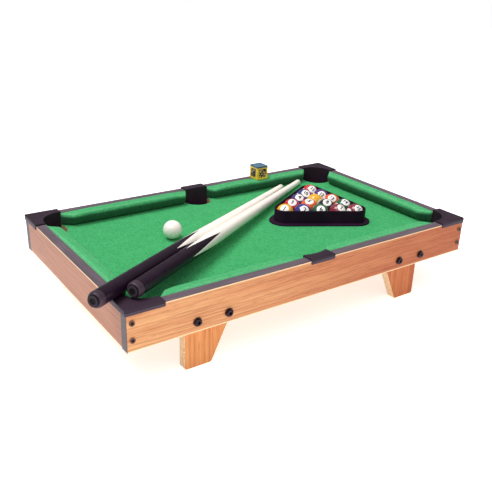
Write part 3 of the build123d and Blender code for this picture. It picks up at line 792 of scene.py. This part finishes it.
# Each cushion's rail, where its back edge starts and ends, and the slants there.
cushions = {"near_left": ("near", *first_half), "near_right": ("near", *second_half),
            "far_right": ("far", *first_half), "far_left": ("far", *second_half),
            "end_left": ("left", *end_rail), "end_right": ("right", *end_rail)}
rail_back, rail_nose = 12.0, 29.5
rail_foot = 83.1             # lowest edge, on the cloth
nose_height = 94.0
nose_bend = 3.5              # how far from a nose corner its bend begins
undercut_depth = 4.6
crown_height = 2.6           # bulge above the aprons' tops
end_reach = 1.2              # how far the cloth runs on past its solid, to the pocket's throat
end_round = 1.1              # what the even mesh that the cloth starts from rounds off each end
start_shrink = 0.5           # how much smaller the cloth starts, where it is left to swell
swell_limit = 1.1
swell_frames = 20


def rail_outline(start, end, start_slant, end_slant):
    """The front edge in plan: from the back at one end, round both nose corners, to the other."""
    back_start, nose_start = Vector((start, rail_back)), Vector((start + start_slant, rail_nose))
    nose_end, back_end = Vector((end - end_slant, rail_nose)), Vector((end, rail_back))
    path = []

    def bent(corner, other):
        """Where the bend round a corner begins, on the way to another corner."""
        return corner + (other - corner).normalized() * nose_bend

    def line(a, b, count):
        path.extend(a.lerp(b, k / count) for k in range(count))

    def arc(before, corner, after):
        a, b = bent(corner, before), bent(corner, after)
        for t in (k / 8 for k in range(8)):
            path.append(a.lerp(corner, t).lerp(corner.lerp(b, t), t))

    line(back_start, bent(nose_start, back_start), 6)
    arc(back_start, nose_start, nose_end)
    leave, enter = bent(nose_start, nose_end), bent(nose_end, nose_start)
    line(leave, enter, int((enter - leave).length / 2.6))
    arc(nose_start, nose_end, back_end)
    line(bent(nose_end, back_end), back_end, 6)
    path.append(back_end)
    return path


def smooth(value, low, high):
    t = min(max((value - low) / (high - low), 0.0), 1.0)
    return t * t * (3 - 2 * t)


def crown_at(name, u, start, end):
    """How far the cushion bulges: less at its ends, and pressed flat under the chalk."""
    crown = crown_height * smooth(min(u - start, end - u), 0.0, 34.0)
    if name == "far_right":
        middle = -(chalk_low.x + chalk_high.x) / 2
        crown *= smooth(abs(u - middle), 11.5, 24.0)
    return crown


def rail_mesh(name, shrink):
    """One rail as a closed mesh in the frame's axes.

    shrink pulls every side in, before the cloth swells.
    """
    rail, start, end, start_slant, end_slant = cushions[name]
    longer = end_reach + (end_round if shrink else 0.0)
    start, end = start - longer, end + longer
    origin, u_axis = rail_frames[rail]
    v_axis = UP.cross(u_axis)
    foot_z, top_z = rail_foot + shrink, apron_top - shrink
    shape = bmesh.new()
    rings = []
    for edge in rail_outline(start, end, start_slant + longer, end_slant + longer):
        share = (edge.y - rail_back) / (rail_nose - rail_back)
        back = Vector((min(max(edge.x, start + 0.6), end - 0.6), rail_back + 0.02))
        inward = back - edge
        reach = max(inward.length, 0.4)
        inward = inward / max(inward.length, 1e-6)
        undercut = undercut_depth * min(1.0, share * 1.15)
        crown = crown_at(name, edge.x, start, end)
        droop = 1.3 * (1 - smooth(min(edge.x - start, end - edge.x), 4.0, 26.0))
        nose_round = min(5.5, reach * 0.45)
        flat_end = 1 - nose_round / reach
        # The profile: back edge, crown, nose, undercut and foot.
        points = [(back, top_z - 0.3), (back, top_z)]
        for t, rise in ((0.03, 0.1), (0.14, 0.62), (0.32, 1.0), (0.52, 1.0), (0.7, 0.86),
                        (0.86, 0.66)):
            points.append((back.lerp(edge, t * flat_end), top_z + crown * rise - droop * t * t))
        shoulder = top_z + crown * 0.5 - droop
        for a in map(math.radians, (82, 64, 46, 28, 10)):
            spot = edge + inward * (nose_round * (1 - math.cos(a)) + shrink)
            points.append((spot, nose_height + (shoulder - nose_height) * math.sin(a)))
        for t in (0.08, 0.3, 0.62, 0.92):
            spot = edge + inward * (shrink + undercut * t)
            points.append((spot, nose_height + (foot_z + 0.6 - nose_height) * t))
        points += [(edge + inward * (shrink + undercut + 0.4), foot_z),
                   (back.lerp(edge + inward * (undercut + 0.4), 0.5), foot_z),
                   (back, foot_z), (back, (foot_z + top_z) / 2)]
        rings.append([shape.verts.new((origin + u_axis * p.x + v_axis * p.y + UP * z) * MM)
                      for p, z in points])
    count = len(rings[0])
    for a, b in zip(rings, rings[1:]):
        for j in range(count):
            shape.faces.new((a[j], a[(j + 1) % count], b[(j + 1) % count], b[j]))
    shape.faces.new(rings[0])
    shape.faces.new(rings[-1][::-1])
    bmesh.ops.recalc_face_normals(shape, faces=shape.faces)
    return mesh_from(shape, f"rail_{name}")


def local(name, point):
    """(u, v, z) in millimetres of a point of the frame, on the cushion's rail."""
    origin, u_axis = rail_frames[cushions[name][0]]
    p = Vector(point) / MM - origin
    return p.dot(u_axis), p.dot(UP.cross(u_axis)), p.z


def swell(piece, name):
    """Cloth over firm rubber: the skin swells under pressure, held at its back, foot and ends."""
    remesh = piece.modifiers.new("even", "REMESH")
    remesh.mode = "VOXEL"
    remesh.voxel_size = 2.0 * MM
    even = evaluated_mesh(piece)
    piece.modifiers.clear()
    piece.data = even
    before = [v.co.copy() for v in even.vertices]
    held = piece.vertex_groups.new(name="held")
    start = cushions[name][1] - end_reach - end_round
    end = cushions[name][2] + end_reach + end_round
    for vertex in even.vertices:
        u, v, z = local(name, vertex.co)
        at_end = abs(u - start) < 4.0 or abs(u - end) < 4.0
        if v < rail_back + 1.6 or z < rail_foot + 1.5 or at_end:
            held.add([vertex.index], 1.0, "REPLACE")
    cloth = piece.modifiers.new("cloth", "CLOTH")
    settings = cloth.settings
    settings.quality = 6
    settings.mass = 0.2
    settings.tension_stiffness = settings.compression_stiffness = 25
    settings.shear_stiffness = 12
    settings.bending_stiffness = 2
    settings.use_pressure = True
    settings.uniform_pressure_force = 4
    settings.vertex_group_mass = "held"
    settings.effector_weights.gravity = 0
    cloth.collision_settings.use_collision = False
    cloth.point_cache.frame_start, cloth.point_cache.frame_end = 1, swell_frames
    scene = bpy.context.scene
    for step in range(1, swell_frames + 1):
        scene.frame_set(step)
    result = evaluated_mesh(piece)
    piece.modifiers.clear()
    piece.vertex_groups.clear()
    limit = swell_limit * MM
    for vertex, old in zip(result.vertices, before):
        move = vertex.co - old
        if move.length > limit:
            vertex.co = old + move.normalized() * limit
    piece.data = result
    scene.frame_set(1)


def stretch_ends(mesh, name):
    """Pull a rail's last millimetres out to the throats, and its back edge to the apron's top."""
    _, start, end, _, _ = cushions[name]
    origin, u_axis = rail_frames[cushions[name][0]]
    flat = np.empty(len(mesh.vertices) * 3, dtype=np.float32)
    mesh.vertices.foreach_get("co", flat)
    spots = flat.reshape(-1, 3).astype(np.float64) / MM
    u = (spots - np.array(origin)) @ np.array(u_axis)
    v = (spots - np.array(origin)) @ np.array(UP.cross(u_axis))

    def near(distance):
        """1 at an end, 0 from 9 mm away."""
        t = np.clip((9.0 - distance) / 8.6, 0.0, 1.0)
        return t * t * (3 - 2 * t)

    pull = near(u.max() - u) * (end + end_reach - u.max())
    pull -= near(u - u.min()) * (u.min() - start + end_reach)
    spots += np.outer(pull, np.array(u_axis))
    low_edge = (v < rail_back + 1.2) & (spots[:, 2] > apron_top - 2.0) & (spots[:, 2] < apron_top)
    spots[low_edge, 2] = apron_top
    mesh.vertices.foreach_set("co", (spots * MM).astype(np.float32).ravel())
    mesh.update()


def make_rail(name):
    """One cushion's cloth."""
    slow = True
    piece = add(f"rail_{name}", rail_mesh(name, start_shrink if slow else 0.0))
    if slow:
        swell(piece, name)
    finer = piece.modifiers.new("finer", "SUBSURF")
    finer.levels = finer.render_levels = 1
    mesh = evaluated_mesh(piece)
    piece.modifiers.clear()
    piece.data = mesh
    mesh.name = f"rail_{name}"
    stretch_ends(mesh, name)
    for vertex in mesh.vertices:
        u, v, z = local(name, vertex.co)
        if v > rail_back + 1.5 and z > rail_foot + 0.9:
            mark = Vector((u / 15, v / 11, z / 13)) + Vector((7.7, 1.2, 3.3))
            push = 0.14 * noise.noise(mark) + 0.05 * noise.noise(mark * 3.7)
            vertex.co += vertex.normal * push * MM
    mesh.materials.clear()
    mesh.materials.append(rail_green)
    mesh.shade_smooth()
    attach(piece, "table")
    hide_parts(f"cushion_{name}")


for name in cushions:
    make_rail(name)

# ==== stage, light and camera, in metres ========================================================
floor_half, floor_drop = 4.0, 0.0003
floor_mesh = bpy.data.meshes.new("floor")
floor_mesh.from_pydata([(x * floor_half, y * floor_half, -floor_drop)
                        for x, y in ((-1, -1), (1, -1), (1, 1), (-1, 1))], [], [(0, 1, 2, 3)])
floor = add("floor", floor_mesh)
paint = Surface("studio_floor", roughness=0.9, specular_ior_level=0.1,
                emission_color=(1, 1, 1, 1), emission_strength=0.58)
paint.feed("Base Color", paint.mix(paint.noise(3, 2), (0.93, 0.93, 0.93, 1),
                                   (0.95, 0.95, 0.95, 1)))
floor_mesh.materials.append(paint.material)

# The camera sees a white world. As a light it is dimmer, most of all low down.
scene = bpy.context.scene
scene.view_settings.view_transform = "Standard"
world = bpy.data.worlds.new("studio")
scene.world = world
world.use_nodes = True
sky = Nodes(world.node_tree)
height = sky.node("SeparateXYZ", {0: sky.node("TexCoord", {}, "Generated")}, "Z")
dome = sky.step(height, 0.1, 0.95, 0.2, 0.7)
background = sky.tree.nodes["Background"]
sky.fill(background.inputs["Color"], (1.0, 1.0, 1.0, 1.0))
sky.fill(background.inputs["Strength"],
         sky.between(sky.node("LightPath", {}, "Is Camera Ray"), dome, 1.0))


def light(name, kind, place, target, **settings):
    """A light aimed at a point, itself unseen."""
    lamp = bpy.data.lights.new(name, kind)
    for key, value in settings.items():
        setattr(lamp, key, value)
    holder = add(name, lamp)
    holder.location = place
    holder.rotation_mode = "QUATERNION"
    holder.rotation_quaternion = (Vector(target) - Vector(place)).to_track_quat("-Z", "Y")
    holder.visible_camera = False


light("overhead", "SUN", (-0.38, 0.3, 1.2), (0.0, 0.0, 0.0), energy=2.3, angle=math.radians(30))
light("low_fill", "AREA", (-0.62, -0.85, 0.13), (-0.12, -0.1, 0.07), shape="RECTANGLE",
      size=0.5, size_y=0.22, energy=0.7)
light("high_front", "AREA", (-0.75, -0.8, 1.45), (0.0, 0.0, 0.08), shape="RECTANGLE",
      size=1.3, size_y=0.9, energy=6.5)

# The camera is the one fitted to the photo.
camera = bpy.data.cameras.new("camera")
camera.lens, camera.sensor_width = 48.41, 36.0
camera.clip_start, camera.clip_end = 0.01, 20.0
viewer = add("camera", camera)
yaw, pitch, roll = 0.6153, 0.4063, -0.0319
ahead = Vector((math.sin(yaw) * math.cos(pitch), math.cos(yaw) * math.cos(pitch),
                -math.sin(pitch)))
level = Vector((math.cos(yaw), -math.sin(yaw), 0))
down = ahead.cross(level)
right = math.cos(roll) * level + math.sin(roll) * down
down = -math.sin(roll) * level + math.cos(roll) * down
turned = Matrix((right, -down, -ahead)).transposed().to_4x4()
viewer.matrix_world = Matrix.Translation((-0.48803, -0.68588, 0.41986)) @ turned
scene.camera = viewer
